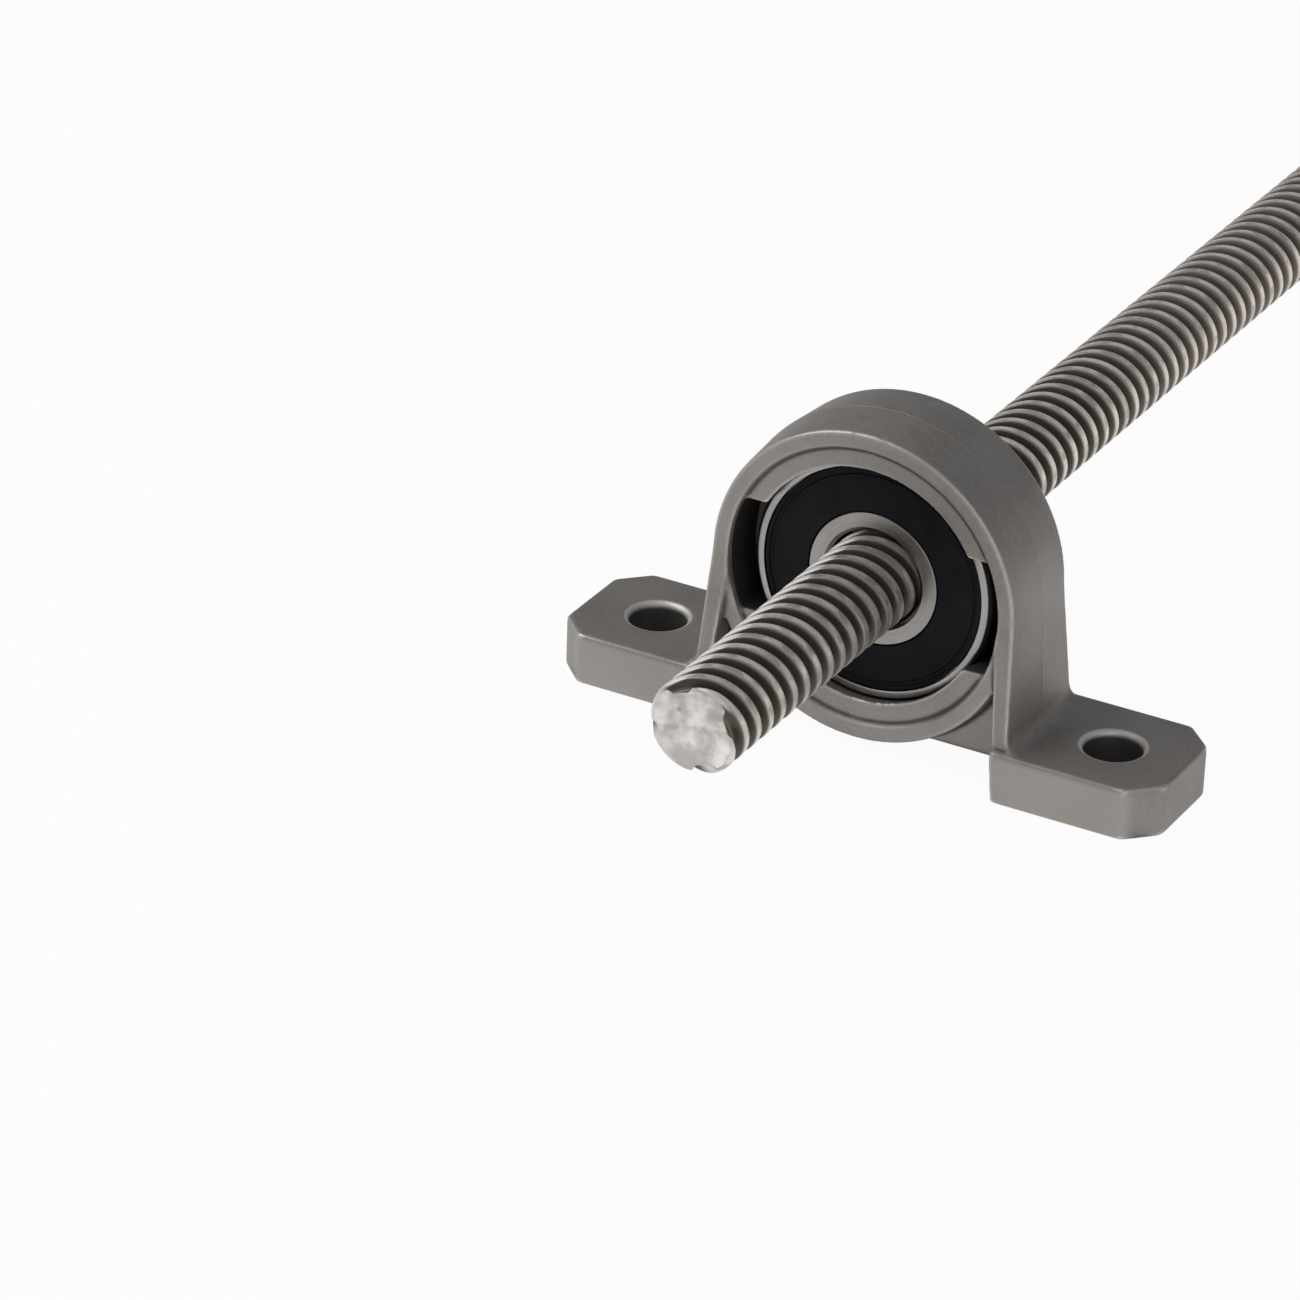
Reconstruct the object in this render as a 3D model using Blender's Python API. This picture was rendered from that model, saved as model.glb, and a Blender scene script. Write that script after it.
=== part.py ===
"""Trapezoidal lead screw carried in a foot-mounted bearing block.

The screw runs along Y through a self-aligning ball bearing insert.  The insert sits in the
spherical bore of a die-cast block whose feet spread along X.  The origin lies in the plane of
the feet, straight below the centre of the bearing.
"""

from math import asin, atan2, ceil, cos, floor, pi, radians, sin, sqrt, tan

import bmesh
import bpy
from mathutils import Matrix, Vector

MM = 0.001

# Lead screw: a trapezoidal thread with four starts, right hand
screw_diameter = 8.0 * MM
screw_length = 150.0 * MM
near_overhang = 32.8 * MM
thread_lead = 8.0 * MM
thread_starts = 4
thread_depth = 0.95 * MM
thread_crest = 0.9 * MM
thread_flank_angle = radians(15.0)
thread_phase = radians(-30.4)
screw_bevel_length = 1.3 * MM
screw_bevel_below_root = 0.05 * MM

# Block: a die casting with a ring for the bearing, an arch over it, two legs and two feet
axis_height = 15.0 * MM
foot_length = 55.0 * MM
foot_depth = 13.0 * MM
foot_thickness = 4.6 * MM
foot_corner = 2.5 * MM
foot_corner_round = 0.8 * MM
foot_edge_round = 0.35 * MM
bolt_hole_radius = 2.45 * MM
bolt_rim_round = 0.45 * MM
ring_wall = 3.0 * MM
ring_depth = 9.6 * MM
casting_draft = 0.35 * MM
casting_edge_round = 0.3 * MM
flank_lean = radians(3.5)
flank_fillet = 1.3 * MM
flank_spread = 0.5 * MM
rim_width = 1.7 * MM
recess_depth = 0.5 * MM
leg_wall_at_axis = 1.65 * MM
leg_lean = radians(4.8)
web_thickness = 6.0 * MM
web_rise = 1.1 * MM
slot_height = 9.9 * MM
mouth_land = 0.1 * MM

# Bearing insert: outer ring, inner ring, balls and seals
outer_width = 5.5 * MM
outer_shoulder_rise = 1.33 * MM
outer_wall = 1.27 * MM
outer_edge_chamfer = 0.15 * MM
inner_width = 11.0 * MM
inner_shoulder_drop = 1.32 * MM
inner_wall = 1.06 * MM
inner_edge_chamfer = 0.2 * MM
bore_clearance = 0.25 * MM
bore_chamfer = 0.3 * MM
ball_count = 7
ball_radius = 1.75 * MM
race_clearance = 0.06 * MM
seat_clearance = 0.08 * MM
seal_ledge = 1.28 * MM
seal_thickness = 0.4 * MM
seal_setback = 0.15 * MM
seal_clearance = 0.08 * MM
seal_land = 0.36 * MM
seal_groove_depth = 0.12 * MM

# Cage: two pressed ribbons held by rivets
cage_width = 1.35 * MM
cage_sheet = 0.25 * MM
cage_gap = 0.06 * MM
pocket_clearance = 0.08 * MM
rivet_radius = 0.28 * MM
rivet_head_radius = 0.5 * MM
rivet_head_height = 0.15 * MM
rivet_clearance = 0.05 * MM

# Grub screws that clamp the inner ring to the lead screw
grub_radius = 1.5 * MM
grub_length = 2.6 * MM
grub_point_radius = 0.9 * MM
grub_point_length = 0.5 * MM
grub_rim = 0.15 * MM
grub_socket_flats = 1.5 * MM
grub_socket_depth = 1.2 * MM
grub_clearance = 0.08 * MM
grub_gap = 0.1 * MM
grub_angles = (radians(90.0), radians(-30.0))

# Sizes that follow from the ones above, from the screw outwards
screw_radius = screw_diameter / 2
thread_root_radius = screw_radius - thread_depth
thread_pitch = thread_lead / thread_starts
bore_radius = screw_radius + bore_clearance
race_radius = ball_radius + race_clearance
ball_circle_radius = bore_radius + inner_wall + race_radius
inner_radius = ball_circle_radius - inner_shoulder_drop
outer_shoulder_radius = ball_circle_radius + outer_shoulder_rise
seal_recess_radius = outer_shoulder_radius + seal_ledge
insert_radius = seal_recess_radius + outer_wall
seat_radius = insert_radius + seat_clearance
crown_radius = insert_radius + ring_wall
front_crown_radius = crown_radius - casting_draft
recess_radius = front_crown_radius - rim_width
leg_inner_at_axis = front_crown_radius - leg_wall_at_axis
web_clearance = axis_height - crown_radius + web_rise
bolt_spacing = foot_length / 2 + crown_radius + flank_spread
ring_half = ring_depth / 2
foot_half = foot_depth / 2
recess_face = ring_half - recess_depth
seat_half = recess_face - mouth_land
mouth_radius = sqrt(seat_radius ** 2 - seat_half ** 2)
outer_half = outer_width / 2
inner_front = -outer_half
inner_back = inner_front + inner_width
grub_offset = (outer_half + inner_back) / 2

# Facets in a full turn
screw_facets = 11
ring_facets = 32
seal_facets = 32
hole_facets = 20
grub_facets = 12
ball_facets = 10
rivet_facets = 6
socket_facets = 6

# Steps along an arc
arch_steps = 26
pocket_steps = 16
seat_steps = 8
slot_steps = 4
groove_steps = 5
cage_pocket_steps = 6


def make_material(name, color, roughness, metallic):
    """A Principled material."""
    material = bpy.data.materials.new(name)
    material.use_nodes = True
    shader = material.node_tree.nodes["Principled BSDF"]
    shader.inputs["Base Color"].default_value = (*color, 1.0)
    shader.inputs["Roughness"].default_value = roughness
    shader.inputs["Metallic"].default_value = metallic
    return material


def make_object(name, bm, material=None, parent=None, location=(0.0, 0.0, 0.0), crease=20.0):
    """Turn a bmesh into a smooth-shaded object with its edges sharp above the crease angle."""
    bmesh.ops.remove_doubles(bm, verts=bm.verts, dist=1e-7)
    bmesh.ops.recalc_face_normals(bm, faces=bm.faces)
    mesh = bpy.data.meshes.new(name)
    bm.to_mesh(mesh)
    bm.free()
    mesh.shade_smooth()
    mesh.set_sharp_from_angle(angle=radians(crease))
    obj = bpy.data.objects.new(name, mesh)
    bpy.context.collection.objects.link(obj)
    if material:
        mesh.materials.append(material)
    obj.parent = parent
    obj.location = location
    return obj


def make_empty(name, parent=None, location=(0.0, 0.0, 0.0)):
    """An empty that marks a joint's axis."""
    empty = bpy.data.objects.new(name, None)
    empty.empty_display_size = 5.0 * MM
    bpy.context.collection.objects.link(empty)
    empty.parent = parent
    empty.location = location
    return empty


def boolean(target, tool, operation):
    """Cut or join a hidden tool into a target."""
    tool.hide_render = True
    tool.display_type = "WIRE"
    modifier = target.modifiers.new(operation.lower(), "BOOLEAN")
    modifier.operation = operation
    modifier.object = tool


def loft(rings):
    """A closed skin through rings of equal point counts, capped at both ends."""
    bm = bmesh.new()
    loops = [[bm.verts.new(point) for point in ring] for ring in rings]
    for lower, upper in zip(loops, loops[1:]):
        for i in range(len(lower)):
            j = (i + 1) % len(lower)
            bm.faces.new((lower[i], lower[j], upper[j], upper[i]))
    bm.faces.new(loops[0])
    bm.faces.new(reversed(loops[-1]))
    return bm


def lathe(profile, facets, closed=True):
    """Turn a profile of (radius, distance along Y) points about the Y axis."""
    bm = bmesh.new()
    verts = [bm.verts.new((radius, along, 0.0)) for radius, along in profile]
    pairs = list(zip(verts, verts[1:]))
    if closed:
        pairs.append((verts[-1], verts[0]))
    edges = [bm.edges.new(pair) for pair in pairs]
    bmesh.ops.spin(
        bm,
        geom=verts + edges,
        cent=(0.0, 0.0, 0.0),
        axis=(0.0, 1.0, 0.0),
        angle=2 * pi,
        steps=facets,
        use_merge=True,
    )
    return bm


def arc(center, radius, start, end, steps):
    """Points on an arc, both ends included."""
    angles = [start + (end - start) * i / steps for i in range(steps + 1)]
    return [(center[0] + radius * cos(a), center[1] + radius * sin(a)) for a in angles]


def mirrored(points):
    """The same points on the other side of the second axis, in reverse order."""
    return [(-across, along) for across, along in reversed(points)]


def flipped(points):
    """The same points on the other side of the first axis, in reverse order."""
    return [(across, -along) for across, along in reversed(points)]


def rounded(points, radius, steps=3):
    """Round every corner of a convex outline."""
    result = []
    for i, corner in enumerate(points):
        here = Vector(corner)
        before = (Vector(points[i - 1]) - here).normalized()
        after = (Vector(points[(i + 1) % len(points)]) - here).normalized()
        half = before.angle(after) / 2
        center = here + (before + after).normalized() * radius / sin(half)
        start = here + before * radius / tan(half) - center
        sweep = start.angle_signed(here + after * radius / tan(half) - center)
        for k in range(steps + 1):
            turn = Matrix.Rotation(-sweep * k / steps, 2)
            result.append(tuple(center + turn @ start))
    return result


def edge_round(radius, steps=2):
    """A rounded edge as (below the face, in from the side) pairs, from the face to the side."""
    angles = [pi / 2 * k / steps for k in range(steps + 1)]
    return [(radius * (1 - cos(a)), radius * (1 - sin(a))) for a in angles]


# Lead screw


def thread_profile(near, far):
    """The teeth along one side of the screw, as (place, radius) points, past both ends."""
    half_crest = thread_crest / 2
    flank = thread_depth * tan(thread_flank_angle)
    tooth = [
        (-half_crest, screw_radius),
        (half_crest, screw_radius),
        (half_crest + flank, thread_root_radius),
        (thread_pitch - half_crest - flank, thread_root_radius),
    ]
    first = floor(near / thread_pitch) - 2 * thread_starts
    last = ceil(far / thread_pitch) + 2 * thread_starts
    points = []
    for number in range(first, last + 1):
        points += [(number * thread_pitch + place, radius) for place, radius in tooth]
    return points, len(tooth)


def make_lead_screw(material, parent):
    """Rows of teeth round the screw, each further along the helix, cut and bevelled at the ends."""
    near = -near_overhang
    far = near + screw_length
    face_radius = thread_root_radius - screw_bevel_below_root
    bevel_slope = (screw_radius - face_radius) / screw_bevel_length
    profile, points_per_tooth = thread_profile(near, far)
    bm = bmesh.new()
    rows = []
    for k in range(screw_facets):
        turn = 2 * pi * k / screw_facets
        shift = thread_lead * (turn - thread_phase) / (2 * pi)
        row = []
        for place, radius in profile:
            y = min(max(place + shift, near), far)
            r = min(radius, face_radius + bevel_slope * min(y - near, far - y))
            row.append(bm.verts.new((r * sin(turn), y, r * cos(turn))))
        rows.append(row)
    bm.faces.new([row[0] for row in rows])
    bm.faces.new([row[-1] for row in reversed(rows)])
    # After a full turn each row meets the first one, a lead further along
    rows.append(rows[0][thread_starts * points_per_tooth:])
    for row, following in zip(rows, rows[1:]):
        for i in range(len(following) - 1):
            bm.faces.new((row[i], row[i + 1], following[i + 1], following[i]))
    return make_object("lead_screw", bm, material, parent, crease=35.0)


# Block


def half_depth(z):
    """Half the block's depth at a height: constant beside the ring, wider towards the feet."""
    below_axis = max(0.0, axis_height - z)
    return ring_half + (foot_half - ring_half) * below_axis / axis_height


def block_outline(radius):
    """The arch, its flanks and the fillets on the feet, for one crown radius."""
    lean = tan(flank_lean)
    tangent_x = radius * cos(flank_lean)
    tangent_z = axis_height + radius * sin(flank_lean)
    # The fillet touches the leaning flank and the top of the foot
    fillet_z = foot_thickness + flank_fillet
    flank_x = tangent_x + (tangent_z - fillet_z) * lean
    fillet_x = flank_x + flank_fillet / cos(flank_lean)
    fillet = arc((fillet_x, fillet_z), flank_fillet, -pi / 2, flank_lean - pi, 5)
    at_axis = (tangent_x + (tangent_z - axis_height) * lean, axis_height)
    right = [(fillet_x, foot_edge_round)] + fillet + [at_axis]
    arch = arc((0.0, axis_height), radius, flank_lean, pi - flank_lean, arch_steps)
    return right + arch + mirrored(right)


def make_block_body():
    """The tombstone-shaped body, drafted from its parting plane and rounded at its edges."""
    halves = []
    for side in (-1, 1):
        half = []
        for below, inwards in edge_round(casting_edge_round):
            outline = block_outline(front_crown_radius - inwards)
            half.append([(x, side * (half_depth(z) - below), z) for x, z in outline])
        halves.append(half)
    middle = [(x, 0.0, z) for x, z in block_outline(crown_radius)]
    bm = loft(halves[0] + [middle] + halves[1][::-1])
    # Each end face bends at the axis height, so it is split there
    for face in [f for f in bm.faces if len(f.verts) > 4]:
        corners = [v for v in face.verts if abs(v.co.z - axis_height) < 1e-7]
        bmesh.utils.face_split(face, corners[0], corners[1])
    return bm


def foot_outline(inset):
    """The foot plate's plan, moved inwards by an inset."""
    a = foot_length / 2 - inset
    b = foot_half - inset
    c = foot_corner - inset * (2 - sqrt(2))
    quarter = [(a, b - c), (a - c, b)]
    half = quarter + mirrored(quarter)
    return rounded(half + [(-x, -y) for x, y in half], foot_corner_round)


def make_foot_plate():
    """The plate that both feet are part of, with soft upper edges."""
    bottom_edge = foot_edge_round / 3
    levels = [(0.0, bottom_edge), (bottom_edge, 0.0)]
    for below, inwards in reversed(edge_round(foot_edge_round)):
        levels.append((foot_thickness - below, inwards))
    return loft([[(x, y, z) for x, y in foot_outline(inset)] for z, inset in levels])


def leg_inner_x(z):
    """Distance from the middle to a leg's inner face."""
    return leg_inner_at_axis + (axis_height - z) * tan(leg_lean)


def pocket_outline(radius, floor, ceiling=None):
    """The space between the legs and below the ring, for one ring radius."""
    if ceiling is None:
        # Where the leg's inner face meets the ring
        slope = tan(leg_lean)
        qa = 1 + slope * slope
        qb = leg_inner_at_axis * slope
        qc = leg_inner_at_axis ** 2 - radius ** 2
        drop = (sqrt(qb * qb - qa * qc) - qb) / qa
        shoulder = [(leg_inner_at_axis + drop * slope, axis_height - drop)]
    else:
        drop = axis_height - ceiling
        shoulder = [(leg_inner_x(ceiling), ceiling), (sqrt(radius ** 2 - drop ** 2), ceiling)]
    start = -atan2(drop, shoulder[-1][0])
    ring = arc((0.0, axis_height), radius, start, -pi - start, pocket_steps)[1:-1]
    right = [(leg_inner_x(floor), floor)] + shoulder
    return right + ring + mirrored(right)


def make_pocket(side):
    """Cutter for the pocket in front of or behind the web, round the drafted ring."""
    half_web = web_thickness / 2
    web_radius = front_crown_radius + casting_draft * (1 - half_web / ring_half)
    slices = [(front_crown_radius - casting_edge_round, foot_depth)]
    for below, inwards in edge_round(casting_edge_round):
        slices.append((front_crown_radius - inwards, ring_half - below))
    slices.append((web_radius, half_web))
    floor = -foot_thickness
    return loft([[(x, side * y, z) for x, z in pocket_outline(r, floor)] for r, y in slices])


def make_under_web():
    """Cutter for the gap between the web and the surface under the feet."""
    outline = pocket_outline(crown_radius, -foot_thickness, web_clearance)
    half = (web_thickness / 2 + ring_half) / 2
    return loft([[(x, y, z) for x, z in outline] for y in (-half, half)])


def make_leg_relief(side):
    """Cutter that keeps the ring's face flat where the legs spread in front of it."""
    right = [(leg_inner_x(z), z) for z in (-foot_thickness, axis_height)]
    outline = right + mirrored(right)
    return loft([[(x, side * y, z) for x, z in outline] for y in (foot_depth, ring_half)])


def make_bearing_bore():
    """Cutter for the spherical seat, its mouths and the recessed faces."""
    seat_angle = asin(seat_half / seat_radius)
    seat = arc((0.0, 0.0), seat_radius, seat_angle, -seat_angle, seat_steps)
    back = [
        (0.0, foot_depth),
        (recess_radius, foot_depth),
        (recess_radius, recess_face),
        (mouth_radius, recess_face),
    ]
    return lathe(back + seat + flipped(back), ring_facets, closed=False)


def make_slot(side):
    """Cutter for a loading slot, through which the insert is put in edge on."""
    half = slot_height / 2
    reach = asin(half / recess_radius)
    outer = arc((0.0, axis_height), recess_radius, -reach, reach, slot_steps)
    inside = mouth_radius / 2
    outline = outer + [(inside, axis_height + half), (inside, axis_height - half)]
    return loft([[(side * x, y, z) for x, z in outline] for y in (-foot_depth, 0.0)])


def make_bolt_hole():
    """Cutter for a bolt hole with rounded rims, along Y."""
    top = foot_thickness / 2
    upper = []
    for below, inwards in reversed(edge_round(bolt_rim_round)):
        upper.append((bolt_hole_radius + inwards, top - below))
    upper += [(bolt_hole_radius + bolt_rim_round, foot_thickness), (0.0, foot_thickness)]
    return lathe(flipped(upper) + upper, hole_facets, closed=False)


def make_housing(material):
    """The die-cast block."""
    block = make_object("housing", make_block_body(), material)
    boolean(block, make_object("foot_plate", make_foot_plate()), "UNION")
    for side, word in ((-1, "front"), (1, "back")):
        boolean(block, make_object("leg_relief_" + word, make_leg_relief(side)), "DIFFERENCE")
        boolean(block, make_object("pocket_" + word, make_pocket(side)), "DIFFERENCE")
    boolean(block, make_object("under_web", make_under_web()), "DIFFERENCE")
    bore = make_object("bearing_bore", make_bearing_bore(), location=(0.0, 0.0, axis_height))
    boolean(block, bore, "DIFFERENCE")
    for side, word in ((-1, "left"), (1, "right")):
        boolean(block, make_object("slot_" + word, make_slot(side)), "DIFFERENCE")
        hole = make_object("bolt_hole_" + word, make_bolt_hole())
        hole.location = (side * bolt_spacing / 2, 0.0, foot_thickness / 2)
        hole.rotation_euler = (pi / 2, 0.0, 0.0)
        boolean(block, hole, "DIFFERENCE")
    return block


# Bearing insert


def make_outer_ring(material, parent):
    """A ring with a spherical outside, a ball groove and a recess for each seal."""
    face_radius = sqrt(insert_radius ** 2 - outer_half ** 2)
    edge_angle = asin((outer_half - outer_edge_chamfer) / insert_radius)
    outside = arc((0.0, 0.0), insert_radius, edge_angle, -edge_angle, groove_steps)
    land_y = outer_half - seal_setback - seal_thickness - seal_clearance
    rise = outer_shoulder_radius - ball_circle_radius
    groove_angle = asin(sqrt(race_radius ** 2 - rise ** 2) / race_radius)
    groove = arc((ball_circle_radius, 0.0), race_radius, -groove_angle, groove_angle, groove_steps)
    front = [
        (face_radius - outer_edge_chamfer, -outer_half),
        (seal_recess_radius, -outer_half),
        (seal_recess_radius, -land_y),
        (outer_shoulder_radius, -land_y),
    ]
    profile = outside + front + groove + flipped(front)
    return make_object("outer_ring", lathe(profile, ring_facets), material, parent)


def aim_grub(obj, angle):
    """Turn an object made along Y to point outwards in the plane of the grub screws."""
    obj.rotation_euler = (0.0, pi / 2 - angle, 0.0)
    obj.rotation_euler.rotate_axis("X", pi / 2)
    obj.location = (0.0, grub_offset, 0.0)


def make_grub_hole(angle, parent):
    """Cutter for a grub screw's hole through the inner ring."""
    radius = grub_radius + grub_clearance
    start = bore_radius / 2
    end = inner_radius * 1.5
    profile = [(0.0, start), (radius, start), (radius, end), (0.0, end)]
    hole = make_object("grub_hole", lathe(profile, grub_facets, closed=False), parent=parent)
    aim_grub(hole, angle)
    return hole


def make_inner_ring(material, parent):
    """A ring with a ball groove, longer at the back, where the grub screws are."""
    rise = ball_circle_radius - inner_radius
    groove_angle = asin(sqrt(race_radius ** 2 - rise ** 2) / race_radius)
    centre = (ball_circle_radius, 0.0)
    groove = arc(centre, race_radius, pi + groove_angle, pi - groove_angle, groove_steps)
    front = [
        (bore_radius, inner_front + bore_chamfer),
        (bore_radius + bore_chamfer, inner_front),
        (inner_radius - inner_edge_chamfer, inner_front),
        (inner_radius, inner_front + inner_edge_chamfer),
    ]
    back = [
        (inner_radius, inner_back - inner_edge_chamfer),
        (inner_radius - inner_edge_chamfer, inner_back),
        (bore_radius + bore_chamfer, inner_back),
        (bore_radius, inner_back - bore_chamfer),
    ]
    ring = make_object("inner_ring", lathe(front + groove + back, ring_facets), material, parent)
    for angle in grub_angles:
        boolean(ring, make_grub_hole(angle, parent), "DIFFERENCE")
    return ring


def make_grub_screw(name, angle, material, parent):
    """A headless screw with a hexagon socket and a coned point."""
    tip = screw_radius + grub_gap
    head = tip + grub_length
    profile = [
        (0.0, tip),
        (grub_point_radius, tip),
        (grub_radius, tip + grub_point_length),
        (grub_radius, head - grub_rim),
        (grub_radius - grub_rim, head),
        (0.0, head),
    ]
    screw = make_object(name, lathe(profile, grub_facets, closed=False), material, parent)
    aim_grub(screw, angle)
    socket_radius = grub_socket_flats / 2 / cos(pi / socket_facets)
    bottom = head - grub_socket_depth
    over = head + grub_socket_depth
    hexagon = [(0.0, bottom), (socket_radius, bottom), (socket_radius, over), (0.0, over)]
    socket = make_object(name + "_socket", lathe(hexagon, socket_facets, closed=False), parent=parent)
    aim_grub(socket, angle)
    boolean(screw, socket, "DIFFERENCE")
    return screw


def make_seal(name, side, material, parent):
    """A rubber seal, snapped into the outer ring and clear of the inner ring."""
    outside = outer_half - seal_setback
    inside = outside - seal_thickness
    rim = seal_recess_radius - seal_clearance
    lip = inner_radius + seal_clearance
    groove = seal_groove_depth
    profile = [
        (lip, inside),
        (rim, inside),
        (rim, outside),
        (rim - seal_land, outside),
        (rim - seal_land - groove, outside - groove),
        (lip + seal_land + groove, outside - groove),
        (lip + seal_land, outside),
        (lip, outside),
    ]
    profile = [(radius, side * along) for radius, along in profile]
    return make_object(name, lathe(profile, seal_facets), material, parent)


def make_ball(name, place, material, parent):
    """Half a circle turned into a ball."""
    half_circle = arc((0.0, 0.0), ball_radius, -pi / 2, pi / 2, ball_facets // 2)
    ball = lathe(half_circle, ball_facets, closed=False)
    return make_object(name, ball, material, parent, place, crease=45.0)


# Cage


def cage_place(index):
    """A place on the ball circle, counted in ball spacings."""
    angle = 2 * pi * index / ball_count
    return (ball_circle_radius * sin(angle), 0.0, ball_circle_radius * cos(angle))


def ribbon_path(offset):
    """Places (along the ball circle, away from its plane) of one face of a pressed ribbon."""
    spacing = 2 * pi * ball_circle_radius / ball_count
    flat = cage_gap / 2 + offset
    radius = ball_radius + pocket_clearance + offset
    reach = asin(flat / radius)
    path = []
    for pocket in range(ball_count):
        path += arc((pocket * spacing, 0.0), radius, pi - reach, reach, cage_pocket_steps)
    return path


def make_ribbon(name, side, material, parent):
    """One half of the cage: sheet pressed into pockets for the balls, flat between them."""
    inner = ball_circle_radius - cage_width / 2
    outer = ball_circle_radius + cage_width / 2
    near_face = ribbon_path(0.0)
    far_face = ribbon_path(cage_sheet)
    bm = bmesh.new()
    rows = []
    for path, radius in ((near_face, inner), (near_face, outer), (far_face, outer), (far_face, inner)):
        row = []
        for along, away in path:
            angle = along / ball_circle_radius
            row.append(bm.verts.new((radius * sin(angle), side * away, radius * cos(angle))))
        rows.append(row)
    for k, first in enumerate(rows):
        second = rows[(k + 1) % len(rows)]
        for i in range(len(first)):
            j = (i + 1) % len(first)
            bm.faces.new((first[i], first[j], second[j], second[i]))
    ribbon = make_object(name, bm, material, parent)
    reach = rivet_radius + rivet_clearance
    high = cage_sheet * 3
    hole_profile = [(0.0, -high), (reach, -high), (reach, high), (0.0, high)]
    for k in range(ball_count):
        hole = lathe(hole_profile, rivet_facets, closed=False)
        hole = make_object(name + "_hole", hole, parent=parent, location=cage_place(k + 0.5))
        boolean(ribbon, hole, "DIFFERENCE")
    return ribbon


def make_rivet(name, place, material, parent):
    """A rivet with a head on each side of the cage."""
    grip = cage_gap / 2 + cage_sheet + rivet_clearance / 2
    top = grip + rivet_head_height
    half = [
        (rivet_radius, grip),
        (rivet_head_radius, grip),
        ((rivet_radius + rivet_head_radius) / 2, top),
        (0.0, top),
    ]
    rivet = lathe(flipped(half) + half, rivet_facets, closed=False)
    return make_object(name, rivet, material, parent, place)


def build():
    """Make every piece."""
    for obj in list(bpy.data.objects):
        bpy.data.objects.remove(obj, do_unlink=True)

    cast_zinc = make_material("cast_zinc", (0.26, 0.24, 0.22), 0.55, 0.85)
    stainless = make_material("stainless", (0.55, 0.52, 0.48), 0.28, 1.0)
    ring_steel = make_material("ring_steel", (0.45, 0.44, 0.43), 0.3, 1.0)
    ball_steel = make_material("ball_steel", (0.62, 0.62, 0.62), 0.12, 1.0)
    cage_steel = make_material("cage_steel", (0.42, 0.40, 0.36), 0.35, 1.0)
    seal_rubber = make_material("seal_rubber", (0.016, 0.015, 0.017), 0.5, 0.0)
    black_steel = make_material("black_steel", (0.05, 0.05, 0.052), 0.4, 0.9)

    make_housing(cast_zinc)
    insert_pivot = make_empty("insert_pivot", location=(0.0, 0.0, axis_height))
    screw_pivot = make_empty("screw_pivot", insert_pivot)
    cage_pivot = make_empty("cage_pivot", insert_pivot)

    make_outer_ring(ring_steel, insert_pivot)
    make_seal("seal_front", -1, seal_rubber, insert_pivot)
    make_seal("seal_back", 1, seal_rubber, insert_pivot)

    make_lead_screw(stainless, screw_pivot)
    make_inner_ring(ring_steel, screw_pivot)
    for number, angle in enumerate(grub_angles, 1):
        make_grub_screw("grub_screw_%d" % number, angle, black_steel, screw_pivot)

    make_ribbon("cage_front", -1, cage_steel, cage_pivot)
    make_ribbon("cage_back", 1, cage_steel, cage_pivot)
    for k in range(ball_count):
        make_ball("ball_%d" % (k + 1), cage_place(k), ball_steel, cage_pivot)
        make_rivet("cage_rivet_%d" % (k + 1), cage_place(k + 0.5), cage_steel, cage_pivot)


build()
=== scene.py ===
from math import asin, atan2, ceil, cos, floor, pi, radians, sin, sqrt, tan

import bmesh
import bpy
import numpy as np
import openvdb
from mathutils import Matrix, Vector


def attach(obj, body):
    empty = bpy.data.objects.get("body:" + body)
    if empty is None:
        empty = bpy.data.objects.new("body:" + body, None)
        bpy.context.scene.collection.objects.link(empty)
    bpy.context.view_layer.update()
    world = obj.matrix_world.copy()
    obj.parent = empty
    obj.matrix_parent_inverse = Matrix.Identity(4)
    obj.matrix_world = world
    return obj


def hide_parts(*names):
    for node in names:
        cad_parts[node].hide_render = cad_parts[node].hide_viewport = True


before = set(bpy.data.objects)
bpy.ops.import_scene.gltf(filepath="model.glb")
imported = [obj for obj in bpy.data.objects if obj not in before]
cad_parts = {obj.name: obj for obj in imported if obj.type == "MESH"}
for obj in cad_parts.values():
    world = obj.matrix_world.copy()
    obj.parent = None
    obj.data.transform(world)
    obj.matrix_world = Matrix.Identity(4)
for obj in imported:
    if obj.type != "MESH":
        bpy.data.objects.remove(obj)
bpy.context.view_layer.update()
MM = 0.001


# Camera
# Long lens above the right front corner, at the angle of the photograph and level with
# its slight tilt. The picture's centre lies to the left of the block and above the feet.

picture_width_px = 1300
focal_length_px = 6333.908
view_azimuth = radians(28.417)
view_elevation = radians(27.76)
view_roll = radians(1.903)
camera_distance = 520.573 * MM
camera_aside = -19.058 * MM
camera_up = 5.828 * MM

back = Vector((
    sin(view_azimuth) * cos(view_elevation),
    -cos(view_azimuth) * cos(view_elevation),
    sin(view_elevation),
))
level_right = Vector((cos(view_azimuth), sin(view_azimuth), 0.0))
level_up = back.cross(level_right)
right = cos(view_roll) * level_right + sin(view_roll) * level_up
up = cos(view_roll) * level_up - sin(view_roll) * level_right

camera = bpy.data.objects.new("camera", bpy.data.cameras.new("camera"))
bpy.context.scene.collection.objects.link(camera)
camera.data.sensor_width = 36.0
camera.data.lens = 36.0 * focal_length_px / picture_width_px
camera.data.clip_start = 0.01
camera.data.clip_end = 10.0
turned = Matrix((right, up, back)).transposed()
camera.matrix_world = turned.to_4x4()
camera.location = level_right * camera_aside + level_up * camera_up + back * camera_distance
bpy.context.scene.camera = camera


# Block
# One die casting in zinc: a ring for the bearing under an arch, two legs and two feet.
# Its edges are soft from the die, a parting line runs over the crown, and it is blasted matte.

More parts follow.
